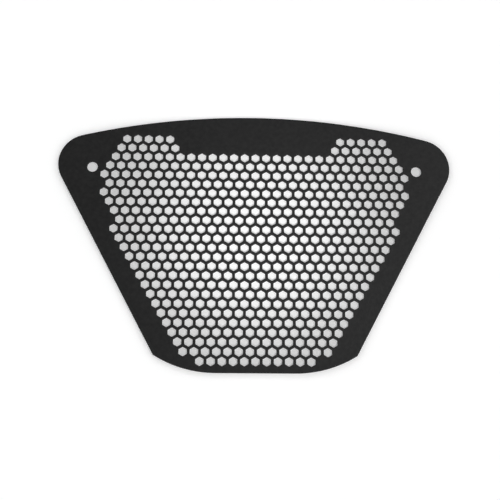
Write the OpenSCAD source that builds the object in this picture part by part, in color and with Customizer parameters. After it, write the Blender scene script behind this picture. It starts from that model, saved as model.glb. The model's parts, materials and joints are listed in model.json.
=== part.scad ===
// Motorcycle radiator guard: one flat sheet of aluminium, laser cut to a crowned
// outline, with a mesh of hexagonal holes and a fixing hole in each upper corner.
// It lies on its back face. X runs across it, +Y to its crowned top edge and +Z
// out of its front face. The origin is under the middle of its outline.

/* [Sheet] */
// Thickness of the sheet with its coating
sheet_t = 1.6; // [1:0.1:3]
// Overall width, measured across the two upper corners
guard_w = 256; // [244:1:280]
// Overall height, from the bottom edge to the top of the crown
guard_h = 168.5; // [155:0.5:185]

/* [Outline] */
// Radius of the crowned top edge
crown_r = 465; // [300:5:900]
// Radius of the two upper corners
corner_r = 19.8; // [12:0.1:26]
// Lean of each side edge from upright, in degrees
side_lean = 28.2; // [24:0.1:31]
// Length of the straight middle of the bottom edge
bottom_flat_w = 50; // [20:1:80]
// Radius of the curve at each end of the bottom edge
bottom_r = 74; // [60:1:110]

/* [Fixing holes] */
// Diameter of each fixing hole, which lets an M6 screw through
fixing_d = 6.8; // [4:0.1:9]
// Distance between the centres of the two fixing holes
fixing_spacing = 211.7; // [200:0.1:220]
// Depth of the fixing holes below the top of the crown
fixing_drop = 35.5; // [28:0.5:44]

/* [Hexagonal mesh] */
// Width of each hexagonal hole across its flats
hex_w = 5.2; // [3:0.1:8]
// Width of the web between neighbouring holes
web_w = 1.8; // [1:0.1:4]
// Solid border between the bottom edge and the lowest row of holes
bottom_border = 4.2; // [2:0.1:12]
// Solid border along each side edge
side_border = 11.4; // [6:0.1:20]
// Least rim that a hole may leave beside the crown or the bottom curves
edge_rim = 3.1; // [2:0.1:6]
// Least land that the mesh leaves beside a fixing hole
fixing_land = 1; // [0.5:0.1:6]

/* [Plain panel] */
// Width of the plain panel in the top edge, at the panel's lower side
panel_w = 91; // [40:1:140]
// Depth of the plain panel below the top of the crown
panel_h = 22; // [10:0.5:40]

/* [Hidden] */
// The height of the top of the crown, and the centre of its arc
top_y = guard_h / 2;
crown_cy = top_y - crown_r;
// Centre of the right upper corner, whose arc runs smoothly into the crown
corner_cx = guard_w / 2 - corner_r;
corner_c = [corner_cx, crown_cy + sqrt((crown_r - corner_r) ^ 2 - corner_cx ^ 2)];
// The right side edge: its direction, its outward normal and its distance along that
side_dir = [sin(side_lean), cos(side_lean)];
side_n = [cos(side_lean), -sin(side_lean)];
side_d = side_n * corner_c + corner_r;
// Centre of the right bottom curve, and the low corner where it meets the side edge
bottom_y = -guard_h / 2;
bottom_c = [bottom_flat_w / 2, bottom_y + bottom_r];
bottom_gap = side_d - side_n * bottom_c;
low_corner = bottom_c + side_n * bottom_gap - side_dir * sqrt(bottom_r ^ 2 - bottom_gap ^ 2);
// Centre of the right fixing hole
fixing_c = [fixing_spacing / 2, top_y - fixing_drop];
// Corner radius of a hexagonal hole, and the mesh's pitch across and between rows
hex_r = hex_w / 2 / cos(30);
pitch = hex_w + web_w;
row_pitch = pitch * sin(60);
// Where the lowest row lies, and how many rows and columns could fit the outline
first_row_y = bottom_y + bottom_border + hex_r;
rows = floor(guard_h / row_pitch);
columns = ceil(guard_w / 2 / pitch);
// The plain panel's lower side, and the outward normal of its right side, which
// follows the slanting rows of the mesh
panel_y = top_y - panel_h;
panel_n = [cos(30), -sin(30)];
// How far a cutting shape reaches past the sheet's edge
over = 5;
$fn = 180;

// Repeats a shape on the right-hand side and on the left-hand side
module both_sides() {
    children();
    mirror([1, 0]) children();
}

// The sheet under the crown and between the side edges, with square corners
module blank() {
    top_w = side_d / side_n[0] + (top_y + over) * tan(side_lean);
    low_w = side_d / side_n[0] + bottom_y * tan(side_lean);
    intersection() {
        polygon([[-low_w, bottom_y], [low_w, bottom_y], [top_w, top_y + over], [-top_w, top_y + over]]);
        translate([0, crown_cy]) circle(crown_r, $fn = 720);
    }
}

// What is trimmed off to round the right upper corner
module corner_trim() {
    reach = corner_r + over;
    crown_n = (corner_c - [0, crown_cy]) / (crown_r - corner_r);
    side_end = corner_c + side_n * reach;
    crown_end = corner_c + crown_n * reach;
    difference() {
        polygon([corner_c, side_end, [side_end[0] + reach, crown_end[1]], crown_end]);
        translate(corner_c) circle(corner_r);
    }
}

// What is trimmed off under the right bottom curve, up to just past the low corner
module bottom_trim() {
    difference() {
        translate([bottom_c[0], bottom_y - over])
            square([low_corner[0] - bottom_c[0] + over, low_corner[1] - bottom_y + 1.2 * over]);
        translate(bottom_c) circle(bottom_r);
    }
}

module outline() {
    difference() {
        blank();
        both_sides() corner_trim();
        both_sides() bottom_trim();
    }
}

// The solid metal that a hole centred at p on the right-hand half would leave
function crown_rim(p) = crown_r - norm(p - [0, crown_cy]) - hex_r;
function bottom_rim(p) = p[1] > bottom_c[1] ? edge_rim
    : bottom_r - norm([max(p[0] - bottom_c[0], 0), p[1] - bottom_c[1]]) - hex_r;
function side_rim(p) = side_d - side_n * p - hex_r;
function fixing_rim(p, dir) = dir * (fixing_c - p) - fixing_d / 2 - hex_r;

// The mesh steps back from each fixing hole on an upright and on a slanting line
function clears_fixing(p) =
    fixing_rim(p, [1, 0]) >= fixing_land && fixing_rim(p, [cos(30), sin(30)]) >= fixing_land;

// A hole lies beside or below the plain panel
function clears_panel(p) =
    p[1] + hex_r <= panel_y || panel_n * (p - [panel_w / 2, panel_y]) >= hex_r;

function takes_hole(p) =
    crown_rim(p) >= edge_rim && bottom_rim(p) >= edge_rim && side_rim(p) >= side_border
    && clears_fixing(p) && clears_panel(p);

// Rows of hexagons, points up, with every other row moved over by half a pitch
module mesh_holes() {
    for (i = [0 : rows - 1], k = [-columns : columns]) {
        x = (k + (i % 2) / 2) * pitch;
        y = first_row_y + i * row_pitch;
        if (takes_hole([abs(x), y])) translate([x, y]) rotate(30) circle(hex_r, $fn = 6);
    }
}

module fixing_holes() {
    both_sides() translate(fixing_c) circle(d = fixing_d);
}

module guard_plate() {
    color("#2a2a2b")
    linear_extrude(sheet_t)
    difference() {
        outline();
        fixing_holes();
        mesh_holes();
    }
}

guard_plate();
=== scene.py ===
"""Motorcycle radiator guard: a laser-cut aluminium sheet in black powder coat.

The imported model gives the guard's overall size, its thickness and its fixing holes.
This script makes the finished sheet in the same place, with its rounded rims and its
coat, and stages it on a pale floor. All sizes are in metres: X runs across the guard,
+Y to its crowned top edge and +Z out of its front face.
"""

import json
import math

import bmesh
import bpy
from bpy.props import FloatProperty, FloatVectorProperty, PointerProperty
from mathutils import Matrix, Vector


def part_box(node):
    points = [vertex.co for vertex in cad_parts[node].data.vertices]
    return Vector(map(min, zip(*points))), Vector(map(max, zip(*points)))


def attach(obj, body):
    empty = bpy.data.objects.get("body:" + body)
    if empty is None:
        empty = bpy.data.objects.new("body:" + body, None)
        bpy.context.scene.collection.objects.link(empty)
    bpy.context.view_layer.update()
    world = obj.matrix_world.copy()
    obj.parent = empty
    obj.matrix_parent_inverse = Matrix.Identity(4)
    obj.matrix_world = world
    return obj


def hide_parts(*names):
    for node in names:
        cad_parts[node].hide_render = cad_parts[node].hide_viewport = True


bl_info = {
    "name": "Motorcycle Radiator Guard",
    "version": (1, 0, 0),
    "blender": (4, 5, 0),
    "location": "View3D > Sidebar > Radiator Guard",
    "description": "Makes a laser-cut, powder-coated radiator guard and its studio",
    "category": "Add Mesh",
}

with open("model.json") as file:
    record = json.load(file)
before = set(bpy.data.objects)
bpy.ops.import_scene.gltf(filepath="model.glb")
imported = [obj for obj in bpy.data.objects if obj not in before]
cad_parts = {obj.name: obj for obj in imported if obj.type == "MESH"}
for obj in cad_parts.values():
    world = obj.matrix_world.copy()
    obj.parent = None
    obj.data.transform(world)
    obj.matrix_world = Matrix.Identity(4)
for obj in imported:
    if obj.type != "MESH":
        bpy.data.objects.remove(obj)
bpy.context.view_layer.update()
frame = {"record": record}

MM = 0.001
# Half the angle between two neighbouring corners of a hexagon
HALF_CORNER = math.pi / 6
PLATE_LOW, PLATE_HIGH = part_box("guard_plate")
FIXING = next(m for m in frame["record"]["mounts"] if m["name"] == "fixing_holes")


def linear_colour(hex_code):
    """An sRGB hex code as linear red, green and blue."""
    parts = [int(hex_code[i:i + 2], 16) / 255 for i in (1, 3, 5)]
    return [c / 12.92 if c <= 0.04045 else ((c + 0.055) / 1.055) ** 2.4 for c in parts]


def length(name, description, default):
    """A length property in metres, shown in the scene's own units."""
    return FloatProperty(
        name=name, description=description, default=default, min=0, precision=5, unit="LENGTH"
    )


def angle(name, description, degrees):
    return FloatProperty(
        name=name, description=description, default=math.radians(degrees), subtype="ANGLE"
    )


def factor(name, description, default):
    return FloatProperty(name=name, description=description, default=default, min=0, precision=4)


def colour(name, description, hex_code):
    return FloatVectorProperty(
        name=name, description=description, default=linear_colour(hex_code),
        subtype="COLOR", size=3, min=0, max=1,
    )


class GuardSheet(bpy.types.PropertyGroup):
    """The sheet: its outline, its rims, its mesh and its fixing holes."""

    width: length("Width", "Across the two upper corners", PLATE_HIGH.x - PLATE_LOW.x)
    height: length("Height", "From the bottom edge to the crown", PLATE_HIGH.y - PLATE_LOW.y)
    thickness: length("Thickness", "Of the sheet with its coat", PLATE_HIGH.z - PLATE_LOW.z)
    rim_r: length("Rim radius", "Of every edge, as the coat leaves it", 0.25 * MM)
    crown_r: length("Crown radius", "Of the top edge", 465 * MM)
    corner_r: length("Corner radius", "Of the two upper corners", 19.8 * MM)
    side_lean: angle("Side lean", "Of each side edge from upright", 28.2)
    bottom_flat: length("Bottom flat", "Straight middle of the bottom edge", 50 * MM)
    bottom_r: length("Bottom radius", "At each end of the bottom edge", 74 * MM)
    hexagon_w: length("Hexagon width", "Of a mesh hole across its flats", 5.2 * MM)
    hexagon_r: length("Hexagon corner radius", "Inside each corner of a mesh hole", 0.4 * MM)
    web_w: length("Web width", "Between neighbouring mesh holes", 1.8 * MM)
    bottom_border: length("Bottom border", "Below the lowest row of holes", 4.2 * MM)
    side_border: length("Side border", "Along each side edge", 11.4 * MM)
    edge_rim: length("Edge rim", "Least rim at the crown and bottom curves", 3.1 * MM)
    fixing_land: length("Fixing land", "Least land beside a fixing hole", 1 * MM)
    panel_w: length("Panel width", "Plain panel's lower side", 91 * MM)
    panel_h: length("Panel depth", "Plain panel below the crown's top", 22 * MM)
    fixing_d: length("Fixing diameter", "Of each fixing hole", 2 * FIXING["dims"]["hole_r_mm"] * MM)
    fixing_gap: length("Fixing spacing", "Between centres", FIXING["dims"]["spacing_x_mm"] * MM)
    fixing_y: FloatProperty(
        name="Fixing height", description="Of the fixing holes' centres above the origin",
        default=FIXING["pos_m"][1], precision=5, unit="LENGTH",
    )


class GuardCoat(bpy.types.PropertyGroup):
    """The powder coat."""

    dark: colour("Dark tone", "Where the film is thick", "#09090A")
    light: colour("Light tone", "Where the film is thin", "#161616")
    film_low: factor("Film low", "Speckle value up to which the tone is dark", 0.3)
    film_high: factor("Film high", "Speckle value from which the tone is light", 0.7)
    roughness: factor("Roughness", "Of the satin coat", 0.5)
    sheen: factor("Sheen spread", "Change of the roughness along the flow waves", 0.03)
    ior: factor("IOR", "Of the polyester resin", 1.4)
    grain: length("Grain width", "Of the fine texture", 0.5 * MM)
    grain_h: length("Grain height", "Of the fine texture", 0.02 * MM)
    peel: length("Peel width", "Of the flow waves", 1.6 * MM)
    peel_h: length("Peel height", "Of the flow waves", 0.08 * MM)
    speckle: length("Speckle width", "Of the tone's unevenness", 2.4 * MM)


class GuardStudio(bpy.types.PropertyGroup):
    """The floor, the light and the camera."""

    floor_r: length("Floor radius", "Of the round floor", 3.0)
    floor: colour("Floor", "Matt white backdrop paper", "#FAFAFA")
    lift: factor("Floor lift", "Added where the camera sees the floor", 0.17)
    tent_sides: factor("Tent sides", "Level of the light from the tent's sides", 2.3)
    tent_top: factor("Tent top", "Level of the light from the tent's top", 0.04)
    fade_low: angle("Tent fade start", "Elevation below which the tent has its sides' level", 25)
    fade_high: angle("Tent fade end", "Elevation above which the tent has its top's level", 38)
    right_azimuth: angle("Right light azimuth", "From straight in front, to the right", 95)
    right_elevation: angle("Right light elevation", "Above the floor", 66)
    right_level: factor("Right light level", "That it gives the floor", 0.205)
    front_azimuth: angle("Front light azimuth", "From straight in front, to the right", -20)
    front_elevation: angle("Front light elevation", "Above the floor", 55)
    front_level: factor("Front light level", "That it gives the floor", 0.03)
    sun_spread: angle("Light spread", "Angular width of the right and the front light", 25)
    sun_distance: length("Light distance", "Where these two are drawn; it changes no light", 1.2)
    spot_elevation: angle("Spot elevation", "Above the floor, straight in front", 52)
    spot_distance: length("Spot distance", "From its aim point", 1.0)
    spot_size: length("Spot size", "Radius of the lamp", 30 * MM)
    spot_reach: length("Spot reach", "Radius of its cone at the aim point", 95 * MM)
    spot_squash: factor("Spot squash", "Of its cone, so that its slanting light falls round", 0.8)
    spot_power: factor("Spot power", "In watts", 24)
    spot_aim: FloatVectorProperty(
        name="Spot aim", description="Middle of the pool of light", size=3, unit="LENGTH",
        default=(2 * MM, 8 * MM, 0),
    )
    lens: FloatProperty(
        name="Lens", description="Focal length", default=71.08, subtype="DISTANCE_CAMERA"
    )
    distance: length("Camera distance", "From the aim point", 632.5 * MM)
    azimuth: angle("Camera azimuth", "From straight in front, to the right", -11.30)
    elevation: angle("Camera elevation", "Above the floor", 76.26)
    roll: angle("Camera roll", "Turn about its own axis", 11.70)
    aim: FloatVectorProperty(
        name="Aim point", description="Middle of the picture", size=3, unit="LENGTH",
        default=(-3.55 * MM, -5.38 * MM, 0.8 * MM),
    )


def add_node(tree, kind, inputs=None, **settings):
    """Adds a node with its settings, and links its inputs or sets their values."""
    node = tree.nodes.new(kind)
    for name, value in settings.items():
        setattr(node, name, value)
    for key, value in (inputs or {}).items():
        if isinstance(value, bpy.types.NodeSocket):
            tree.links.new(value, node.inputs[key])
        else:
            node.inputs[key].default_value = value
    return node


# The sheet's drawing: its outline and the centres of its holes

def arc(centre, radius, start, end, step=2 * MM):
    """Points on an arc from one angle to another, at most a step apart."""
    count = max(2, math.ceil(abs(end - start) * radius / step))
    angles = (start + (end - start) * i / count for i in range(count + 1))
    return [centre + radius * Vector((math.cos(a), math.sin(a))) for a in angles]


class Drawing:
    """Lines of the right-hand half of the guard, worked out from its sizes."""

    def __init__(self, sheet):
        self.sheet = sheet
        self.top_y = sheet.height / 2
        self.bottom_y = -sheet.height / 2
        self.crown_c = Vector((0, self.top_y - sheet.crown_r))
        corner_x = sheet.width / 2 - sheet.corner_r
        rise = math.sqrt((sheet.crown_r - sheet.corner_r) ** 2 - corner_x ** 2)
        self.corner_c = self.crown_c + Vector((corner_x, rise))
        self.side_n = Vector((math.cos(sheet.side_lean), -math.sin(sheet.side_lean)))
        self.side_d = self.side_n.dot(self.corner_c) + sheet.corner_r
        self.bottom_c = Vector((sheet.bottom_flat / 2, self.bottom_y + sheet.bottom_r))
        self.fixing_c = Vector((sheet.fixing_gap / 2, sheet.fixing_y))
        self.hexagon_r = sheet.hexagon_w / 2 / math.cos(HALF_CORNER)

    def outline(self):
        """The outline's points, anticlockwise from the bottom edge."""
        s = self.sheet
        lean = -s.side_lean
        low_angle = lean - math.acos((self.side_d - self.side_n.dot(self.bottom_c)) / s.bottom_r)
        crown_angle = math.atan2(*(self.corner_c - self.crown_c).yx)
        right = arc(self.bottom_c, s.bottom_r, -math.pi / 2, low_angle)
        right += arc(self.corner_c, s.corner_r, lean, crown_angle, step=1 * MM)
        right += arc(self.crown_c, s.crown_r, crown_angle, math.pi / 2, step=4 * MM)[1:]
        left = [Vector((-p.x, p.y)) for p in reversed(right[:-1])]
        return right + left

    def takes_hole(self, p):
        """Whether a mesh hole centred at p, on the right-hand half, keeps its borders."""
        s, r = self.sheet, self.hexagon_r
        from_fixing = self.fixing_c - p
        slant = Vector((math.cos(HALF_CORNER), math.sin(HALF_CORNER)))
        land = min(from_fixing.x, from_fixing.dot(slant)) - s.fixing_d / 2 - r
        past_flat = Vector((max(p.x - self.bottom_c.x, 0), p.y - self.bottom_c.y))
        panel_corner = Vector((s.panel_w / 2, self.top_y - s.panel_h))
        beside_panel = Vector((slant.x, -slant.y)).dot(p - panel_corner)
        return (
            s.crown_r - (p - self.crown_c).length - r >= s.edge_rim
            and (p.y > self.bottom_c.y or s.bottom_r - past_flat.length - r >= s.edge_rim)
            and self.side_d - self.side_n.dot(p) - r >= s.side_border
            and land >= s.fixing_land
            and (p.y + r <= panel_corner.y or beside_panel >= r)
        )

    def mesh_centres(self):
        """Centres of the mesh holes, in rows that are staggered by half a pitch."""
        pitch = self.sheet.hexagon_w + self.sheet.web_w
        row_pitch = pitch * math.sin(2 * HALF_CORNER)
        first_y = self.bottom_y + self.sheet.bottom_border + self.hexagon_r
        columns = math.ceil(self.sheet.width / 2 / pitch)
        for i in range(int(self.sheet.height / row_pitch)):
            for k in range(-columns, columns + 1):
                x, y = (k + i % 2 / 2) * pitch, first_y + i * row_pitch
                if self.takes_hole(Vector((abs(x), y))):
                    yield Vector((x, y))

    def fixing_centres(self):
        return [self.fixing_c, Vector((-self.fixing_c.x, self.fixing_c.y))]


def drawing_object(drawing):
    """The drawing as a mesh: a closed run of edges, and a lone point for each hole."""
    outline = drawing.outline()
    mesh_holes = list(drawing.mesh_centres())
    fixing_holes = drawing.fixing_centres()
    points = [p.to_3d() for p in outline + mesh_holes + fixing_holes]
    edges = [(i, (i + 1) % len(outline)) for i in range(len(outline))]
    mesh = bpy.data.meshes.new("guard_plate_finish")
    mesh.from_pydata(points, edges, [])
    for name, first, count in (
        ("mesh_hole", len(outline), len(mesh_holes)),
        ("fixing_hole", len(outline) + len(mesh_holes), len(fixing_holes)),
    ):
        flags = mesh.attributes.new(name, "BOOLEAN", "POINT")
        for i in range(first, first + count):
            flags.data[i].value = True
    piece = bpy.data.objects.new("guard_plate_finish", mesh)
    bpy.context.scene.collection.objects.link(piece)
    return piece


# The perforated sheet, as Geometry Nodes

SHEET_INPUTS = (
    ("Thickness", "NodeSocketFloat"),
    ("Rim radius", "NodeSocketFloat"),
    ("Hexagon width", "NodeSocketFloat"),
    ("Hexagon corner radius", "NodeSocketFloat"),
    ("Fixing diameter", "NodeSocketFloat"),
    ("Coat", "NodeSocketMaterial"),
)


def rim_profile(tree, given):
    """The section of an edge, from the front face to the back: an arc, the wall, an arc.

    Swept along an edge that has the metal on its left, a section's X points out of
    the metal and its Y points to the back of the sheet.
    """
    rectangle = add_node(
        tree, "GeometryNodeCurvePrimitiveQuadrilateral",
        {"Width": given["Rim radius"], "Height": given["Thickness"]}, mode="RECTANGLE",
    )
    opened = add_node(
        tree, "GeometryNodeSetSplineCyclic", {"Geometry": rectangle.outputs[0], "Cyclic": False}
    )
    rounded = add_node(
        tree, "GeometryNodeFilletCurve",
        {"Curve": opened.outputs[0], "Count": 2, "Radius": given["Rim radius"]}, mode="POLY",
    )
    half_x = add_node(
        tree, "ShaderNodeMath", {0: given["Rim radius"], 1: -0.5}, operation="MULTIPLY"
    )
    half_y = add_node(
        tree, "ShaderNodeMath", {0: given["Thickness"], 1: -0.5}, operation="MULTIPLY"
    )
    centre = add_node(
        tree, "ShaderNodeCombineXYZ", {"X": half_x.outputs[0], "Y": half_y.outputs[0]}
    )
    return add_node(
        tree, "GeometryNodeTransform",
        {
            "Geometry": rounded.outputs[0], "Translation": centre.outputs[0],
            "Rotation": (0, 0, math.pi),
        },
    ).outputs[0]


def holes(tree, drawing, flag, hole):
    """The hole's outline on every point of the drawing that carries the flag."""
    flagged = add_node(
        tree, "GeometryNodeInputNamedAttribute", {"Name": flag}, data_type="BOOLEAN"
    ).outputs["Attribute"]
    clockwise = add_node(tree, "GeometryNodeReverseCurve", {"Curve": hole})
    placed = add_node(
        tree, "GeometryNodeInstanceOnPoints",
        {"Points": drawing, "Selection": flagged, "Instance": clockwise.outputs[0]},
    )
    real = add_node(tree, "GeometryNodeRealizeInstances", {"Geometry": placed.outputs[0]})
    return real.outputs[0]


def hexagon(tree, given):
    """A hexagon with a point up and a small radius in each corner."""
    radius = add_node(
        tree, "ShaderNodeMath", {0: given["Hexagon width"], 1: 2 * math.cos(HALF_CORNER)},
        operation="DIVIDE",
    )
    sharp = add_node(
        tree, "GeometryNodeCurvePrimitiveCircle", {"Resolution": 6, "Radius": radius.outputs[0]}
    )
    upright = add_node(
        tree, "GeometryNodeTransform",
        {"Geometry": sharp.outputs["Curve"], "Rotation": (0, 0, HALF_CORNER)},
    )
    return add_node(
        tree, "GeometryNodeFilletCurve",
        {"Curve": upright.outputs[0], "Count": 1, "Radius": given["Hexagon corner radius"]},
        mode="POLY",
    ).outputs[0]


def fixing_circle(tree, given):
    """A fixing hole's circle, with enough sides to look round close up."""
    radius = add_node(
        tree, "ShaderNodeMath", {0: given["Fixing diameter"], 1: 2.0}, operation="DIVIDE"
    )
    return add_node(
        tree, "GeometryNodeCurvePrimitiveCircle", {"Resolution": 48, "Radius": radius.outputs[0]}
    ).outputs["Curve"]


def face_of_sheet(tree, given, rims, front):
    """The flat front or back face, which fills the rims' own free edges."""
    neighbours = add_node(tree, "GeometryNodeInputMeshEdgeNeighbors")
    free = add_node(
        tree, "FunctionNodeCompare", {2: neighbours.outputs[0], 3: 1},
        data_type="INT", operation="EQUAL",
    )
    height = add_node(
        tree, "ShaderNodeSeparateXYZ", {0: add_node(tree, "GeometryNodeInputPosition").outputs[0]}
    )
    middle = add_node(tree, "ShaderNodeMath", {0: given["Thickness"], 1: 2.0}, operation="DIVIDE")
    side = add_node(
        tree, "FunctionNodeCompare", {0: height.outputs["Z"], 1: middle.outputs[0]},
        data_type="FLOAT", operation="GREATER_THAN" if front else "LESS_THAN",
    )
    chosen = add_node(
        tree, "FunctionNodeBooleanMath", {0: free.outputs[0], 1: side.outputs[0]}, operation="AND"
    )
    loops = add_node(
        tree, "GeometryNodeMeshToCurve", {"Mesh": rims, "Selection": chosen.outputs[0]}
    )
    filled = add_node(tree, "GeometryNodeFillCurve", {"Curve": loops.outputs[0]}, mode="TRIANGLES")
    if not front:
        return add_node(tree, "GeometryNodeFlipFaces", {"Mesh": filled.outputs[0]}).outputs[0]
    up = add_node(tree, "ShaderNodeCombineXYZ", {"Z": given["Thickness"]})
    return add_node(
        tree, "GeometryNodeTransform", {"Geometry": filled.outputs[0], "Translation": up.outputs[0]}
    ).outputs[0]


def perforated_sheet_tree():
    """Cuts the drawing out of sheet: every edge gets its rim, and two faces close it."""
    tree = bpy.data.node_groups.new("perforated_sheet", "GeometryNodeTree")
    tree.interface.new_socket("Drawing", in_out="INPUT", socket_type="NodeSocketGeometry")
    for name, kind in SHEET_INPUTS:
        tree.interface.new_socket(name, in_out="INPUT", socket_type=kind)
    tree.interface.new_socket("Sheet", in_out="OUTPUT", socket_type="NodeSocketGeometry")
    given = add_node(tree, "NodeGroupInput").outputs
    drawing = given["Drawing"]

    outline = add_node(tree, "GeometryNodeMeshToCurve", {"Mesh": drawing})
    cuts = add_node(tree, "GeometryNodeJoinGeometry")
    for cut in (
        outline.outputs[0],
        holes(tree, drawing, "mesh_hole", hexagon(tree, given)),
        holes(tree, drawing, "fixing_hole", fixing_circle(tree, given)),
    ):
        tree.links.new(cut, cuts.inputs[0])
    flat = add_node(tree, "GeometryNodeSetCurveNormal", {"Curve": cuts.outputs[0]}, mode="Z_UP")
    swept = add_node(
        tree, "GeometryNodeCurveToMesh",
        {"Curve": flat.outputs[0], "Profile Curve": rim_profile(tree, given)},
    )
    rims = add_node(
        tree, "GeometryNodeSetShadeSmooth", {"Geometry": swept.outputs[0], "Shade Smooth": True}
    )
    faces = add_node(tree, "GeometryNodeJoinGeometry")
    for front in (True, False):
        tree.links.new(face_of_sheet(tree, given, swept.outputs[0], front), faces.inputs[0])
    crisp = add_node(
        tree, "GeometryNodeSetShadeSmooth", {"Geometry": faces.outputs[0], "Shade Smooth": False}
    )
    sheet = add_node(tree, "GeometryNodeJoinGeometry")
    for part in (rims.outputs[0], crisp.outputs[0]):
        tree.links.new(part, sheet.inputs[0])
    closed = add_node(
        tree, "GeometryNodeMergeByDistance", {"Geometry": sheet.outputs[0], "Distance": 0.001 * MM}
    )
    real = add_node(tree, "GeometryNodeRealizeInstances", {"Geometry": closed.outputs[0]})
    coated = add_node(
        tree, "GeometryNodeSetMaterial", {"Geometry": real.outputs[0], "Material": given["Coat"]}
    )
    add_node(tree, "NodeGroupOutput", {"Sheet": coated.outputs[0]})
    return tree


def bake(piece, tree, values):
    """Runs the tree on the piece with these inputs, and keeps the result as a plain mesh."""
    modifier = piece.modifiers.new(tree.name, "NODES")
    modifier.node_group = tree
    sockets = {item.name: item.identifier for item in tree.interface.items_tree}
    for name, value in values.items():
        modifier[sockets[name]] = value
    shape = piece.evaluated_get(bpy.context.evaluated_depsgraph_get())
    mesh = bpy.data.meshes.new_from_object(shape)
    mesh.name = piece.name
    # Set Material leaves an empty slot before its own on a mesh that had none
    if mesh.materials[0] is None:
        mesh.materials.pop(index=0)
    piece.modifiers.clear()
    piece.data = mesh


def check_closed(piece):
    """Stops with a message unless the mesh is one closed shell that faces outwards."""
    shell = bmesh.new()
    shell.from_mesh(piece.data)
    open_edges = sum(not edge.is_manifold for edge in shell.edges)
    volume = shell.calc_volume(signed=True)
    shell.free()
    if open_edges or volume <= 0:
        raise RuntimeError(f"{piece.name}: {open_edges} open edges, volume {volume}")


# Materials

def powder_coat_material(coat):
    """Polyester powder coat, sprayed dry and baked.

    It gives the eye a near-black satin with a faint unevenness of tone. The unevenness
    is drawn at a few millimetres, because a real coat's grain is too fine to show. The
    fine texture and the short flow waves under it only show close up.
    """
    material = bpy.data.materials.new("satin_black_powder_coat")
    material.use_nodes = True
    tree = material.node_tree
    tree.nodes.clear()
    place = add_node(tree, "ShaderNodeTexCoord").outputs["Object"]
    grain = add_node(
        tree, "ShaderNodeTexNoise", {"Vector": place, "Scale": 1 / coat.grain, "Detail": 2.0}
    )
    peel = add_node(
        tree, "ShaderNodeTexNoise", {"Vector": place, "Scale": 1 / coat.peel, "Detail": 1.0}
    )
    speckle = add_node(
        tree, "ShaderNodeTexNoise", {"Vector": place, "Scale": 1 / coat.speckle, "Detail": 2.0}
    )
    film = add_node(
        tree, "ShaderNodeMapRange",
        {"Value": speckle.outputs[0], "From Min": coat.film_low, "From Max": coat.film_high},
    )
    tone = add_node(
        tree, "ShaderNodeMix",
        {"Factor": film.outputs[0], "A": (*coat.dark, 1), "B": (*coat.light, 1)}, data_type="RGBA",
    )
    sheen = add_node(
        tree, "ShaderNodeMapRange",
        {
            "Value": peel.outputs[0],
            "To Min": coat.roughness - coat.sheen, "To Max": coat.roughness + coat.sheen,
        },
    )
    waves = add_node(
        tree, "ShaderNodeBump",
        {"Height": peel.outputs[0], "Distance": coat.peel_h, "Strength": 1.0},
    )
    texture = add_node(
        tree, "ShaderNodeBump",
        {
            "Height": grain.outputs[0], "Distance": coat.grain_h, "Strength": 1.0,
            "Normal": waves.outputs[0],
        },
    )
    shader = add_node(
        tree, "ShaderNodeBsdfPrincipled",
        {
            "Base Color": tone.outputs["Result"], "Roughness": sheen.outputs[0],
            "IOR": coat.ior, "Normal": texture.outputs[0],
        },
    )
    add_node(tree, "ShaderNodeOutputMaterial", {"Surface": shader.outputs[0]})
    return material


def backdrop_material(studio):
    """Matt paper backdrop, uncoated: an even white that keeps soft shadows."""
    material = bpy.data.materials.new("matt_white_backdrop_paper")
    material.use_nodes = True
    tree = material.node_tree
    tree.nodes.clear()
    rays = add_node(tree, "ShaderNodeLightPath").outputs
    # The floor is lifted where the camera sees it, also mirrored or through glass
    seen = add_node(
        tree, "ShaderNodeMath", {0: rays["Is Camera Ray"], 1: rays["Is Glossy Ray"]},
        operation="ADD",
    )
    seen = add_node(
        tree, "ShaderNodeMath", {0: seen.outputs[0], 1: rays["Is Transmission Ray"]},
        operation="ADD",
    )
    lift = add_node(
        tree, "ShaderNodeMath", {0: seen.outputs[0], 1: studio.lift}, operation="MULTIPLY"
    )
    shader = add_node(
        tree, "ShaderNodeBsdfPrincipled",
        {
            "Base Color": (*studio.floor, 1), "Roughness": 0.9, "Specular IOR Level": 0.1,
            "Emission Color": (1, 1, 1, 1), "Emission Strength": lift.outputs[0],
        },
    )
    add_node(tree, "ShaderNodeOutputMaterial", {"Surface": shader.outputs[0]})
    return material


class GUARD_OT_make_plate(bpy.types.Operator):
    """Make the perforated sheet in its powder coat"""

    bl_idname = "guard.make_plate"
    bl_label = "Make Guard Plate"

    def execute(self, context):
        sheet = context.scene.guard_sheet
        coat = powder_coat_material(context.scene.guard_coat)
        plate = drawing_object(Drawing(sheet))
        bake(plate, perforated_sheet_tree(), {
            "Thickness": sheet.thickness,
            "Rim radius": sheet.rim_r,
            "Hexagon width": sheet.hexagon_w,
            "Hexagon corner radius": sheet.hexagon_r,
            "Fixing diameter": sheet.fixing_d,
            "Coat": coat,
        })
        check_closed(plate)
        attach(plate, "root")
        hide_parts("guard_plate")
        return {"FINISHED"}


# The studio

def backdrop(studio):
    """A round floor, in the plane that the guard lies on."""
    disc = bmesh.new()
    bmesh.ops.create_circle(disc, cap_ends=True, segments=64, radius=studio.floor_r)
    mesh = bpy.data.meshes.new("studio_floor")
    disc.to_mesh(mesh)
    disc.free()
    mesh.materials.append(backdrop_material(studio))
    floor = bpy.data.objects.new("studio_floor", mesh)
    bpy.context.scene.collection.objects.link(floor)


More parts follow.
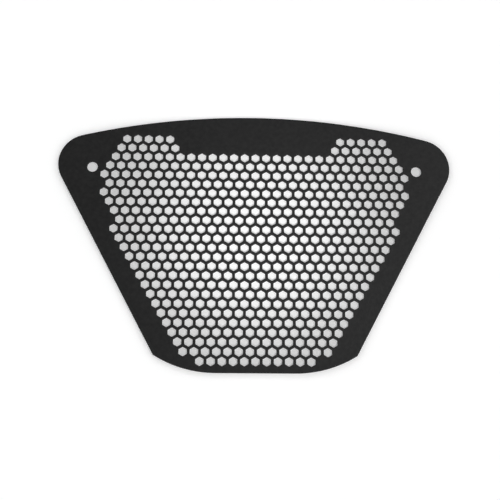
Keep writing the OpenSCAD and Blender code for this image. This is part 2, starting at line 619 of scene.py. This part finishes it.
def light_tent(studio):
    """Even light from the sides of a white tent, which darkens towards its top."""
    world = bpy.context.scene.world or bpy.data.worlds.new("light_tent")
    bpy.context.scene.world = world
    world.use_nodes = True
    tree = world.node_tree
    tree.nodes.clear()
    way = add_node(tree, "ShaderNodeTexCoord").outputs["Generated"]
    height = add_node(tree, "ShaderNodeSeparateXYZ", {0: way})
    level = add_node(
        tree, "ShaderNodeMapRange",
        {
            "Value": height.outputs["Z"],
            "From Min": math.sin(studio.fade_low), "From Max": math.sin(studio.fade_high),
            "To Min": studio.tent_sides, "To Max": studio.tent_top,
        },
        interpolation_type="SMOOTHSTEP",
    )
    air = add_node(
        tree, "ShaderNodeBackground", {"Color": (1, 1, 1, 1), "Strength": level.outputs[0]}
    )
    add_node(tree, "ShaderNodeOutputWorld", {"Surface": air.outputs[0]})


def place_lamp(lamp, azimuth, elevation, distance, aim=Vector((0, 0, 0)), squash=1):
    """Aims a lamp at a point from a sphere round it, with azimuth 0 in front.

    The squash scales the lamp's own Y, and so the height of a spot's cone.
    """
    flat =Vector((math.sin(azimuth), -math.cos(azimuth), 0))
    way = flat * math.cos(elevation) + Vector((0, 0, math.sin(elevation)))
    holder = bpy.data.objects.new(lamp.name, lamp)
    holder.matrix_world = Matrix.LocRotScale(
        aim + way * distance, (-way).to_track_quat("-Z", "Y"), Vector((1, squash, 1))
    )
    bpy.context.scene.collection.objects.link(holder)


def soft_sun(studio, name, azimuth, elevation, level):
    """Soft parallel light that lights the floor to this level, evenly everywhere."""
    lamp = bpy.data.lights.new(name, "SUN")
    lamp.angle = studio.sun_spread
    lamp.energy = level * math.pi / math.sin(elevation)
    place_lamp(lamp, azimuth, elevation, studio.sun_distance)


def centre_spot(studio):
    """A soft-edged lamp straight in front, which fades out towards the guard's borders."""
    lamp = bpy.data.lights.new("centre_spot", "SPOT")
    lamp.shadow_soft_size = studio.spot_size
    lamp.spot_size = 2 * math.atan(studio.spot_reach / studio.spot_distance)
    lamp.spot_blend = 1
    lamp.energy = studio.spot_power
    place_lamp(
        lamp, 0, studio.spot_elevation, studio.spot_distance,
        Vector(studio.spot_aim), studio.spot_squash,
    )


def lamps(studio):
    """The soft lamps and the tent that light the guard and its floor."""
    soft_sun(
        studio, "right_light", studio.right_azimuth, studio.right_elevation, studio.right_level
    )
    soft_sun(
        studio, "front_light", studio.front_azimuth, studio.front_elevation, studio.front_level
    )
    centre_spot(studio)
    light_tent(studio)


def camera(studio):
    """The camera at the photograph's viewing angle."""
    data = bpy.data.cameras.new("studio_camera")
    data.lens = studio.lens
    data.clip_start = 0.01
    data.clip_end = 20
    holder = bpy.data.objects.new("studio_camera", data)
    turn = (
        Matrix.Rotation(studio.azimuth, 4, "Z")
        @ Matrix.Rotation(math.pi / 2 - studio.elevation, 4, "X")
        @ Matrix.Rotation(studio.roll, 4, "Z")
    )
    back = turn @ Vector((0, 0, studio.distance))
    holder.matrix_world = Matrix.Translation(Vector(studio.aim) + back) @ turn
    bpy.context.scene.collection.objects.link(holder)
    bpy.context.scene.camera = holder


class GUARD_OT_set_studio(bpy.types.Operator):
    """Set up the pale floor, the soft lamps and the camera"""

    bl_idname = "guard.set_studio"
    bl_label = "Set Up Studio"

    def execute(self, context):
        studio = context.scene.guard_studio
        camera(studio)
        backdrop(studio)
        lamps(studio)
        context.scene.view_settings.view_transform = "Standard"
        return {"FINISHED"}


class GUARD_PT_panel(bpy.types.Panel):
    """Radiator guard tools"""

    bl_idname = "GUARD_PT_panel"
    bl_label = "Radiator Guard"
    bl_space_type = "VIEW_3D"
    bl_region_type = "UI"
    bl_category = "Radiator Guard"

    def draw(self, context):
        layout = self.layout
        for title, group, operator in (
            ("Sheet", context.scene.guard_sheet, None),
            ("Powder coat", context.scene.guard_coat, GUARD_OT_make_plate),
            ("Studio", context.scene.guard_studio, GUARD_OT_set_studio),
        ):
            box = layout.box()
            box.label(text=title)
            for name in group.__annotations__:
                box.prop(group, name)
            if operator:
                box.operator(operator.bl_idname)


CLASSES = (
    GuardSheet, GuardCoat, GuardStudio, GUARD_OT_make_plate, GUARD_OT_set_studio, GUARD_PT_panel,
)


def register():
    for cls in CLASSES:
        bpy.utils.register_class(cls)
    bpy.types.Scene.guard_sheet = PointerProperty(type=GuardSheet)
    bpy.types.Scene.guard_coat = PointerProperty(type=GuardCoat)
    bpy.types.Scene.guard_studio = PointerProperty(type=GuardStudio)


def unregister():
    del bpy.types.Scene.guard_studio
    del bpy.types.Scene.guard_coat
    del bpy.types.Scene.guard_sheet
    for cls in reversed(CLASSES):
        bpy.utils.unregister_class(cls)


def main():
    register()
    bpy.ops.guard.make_plate()
    bpy.ops.guard.set_studio()


if __name__ == "__main__":
    main()
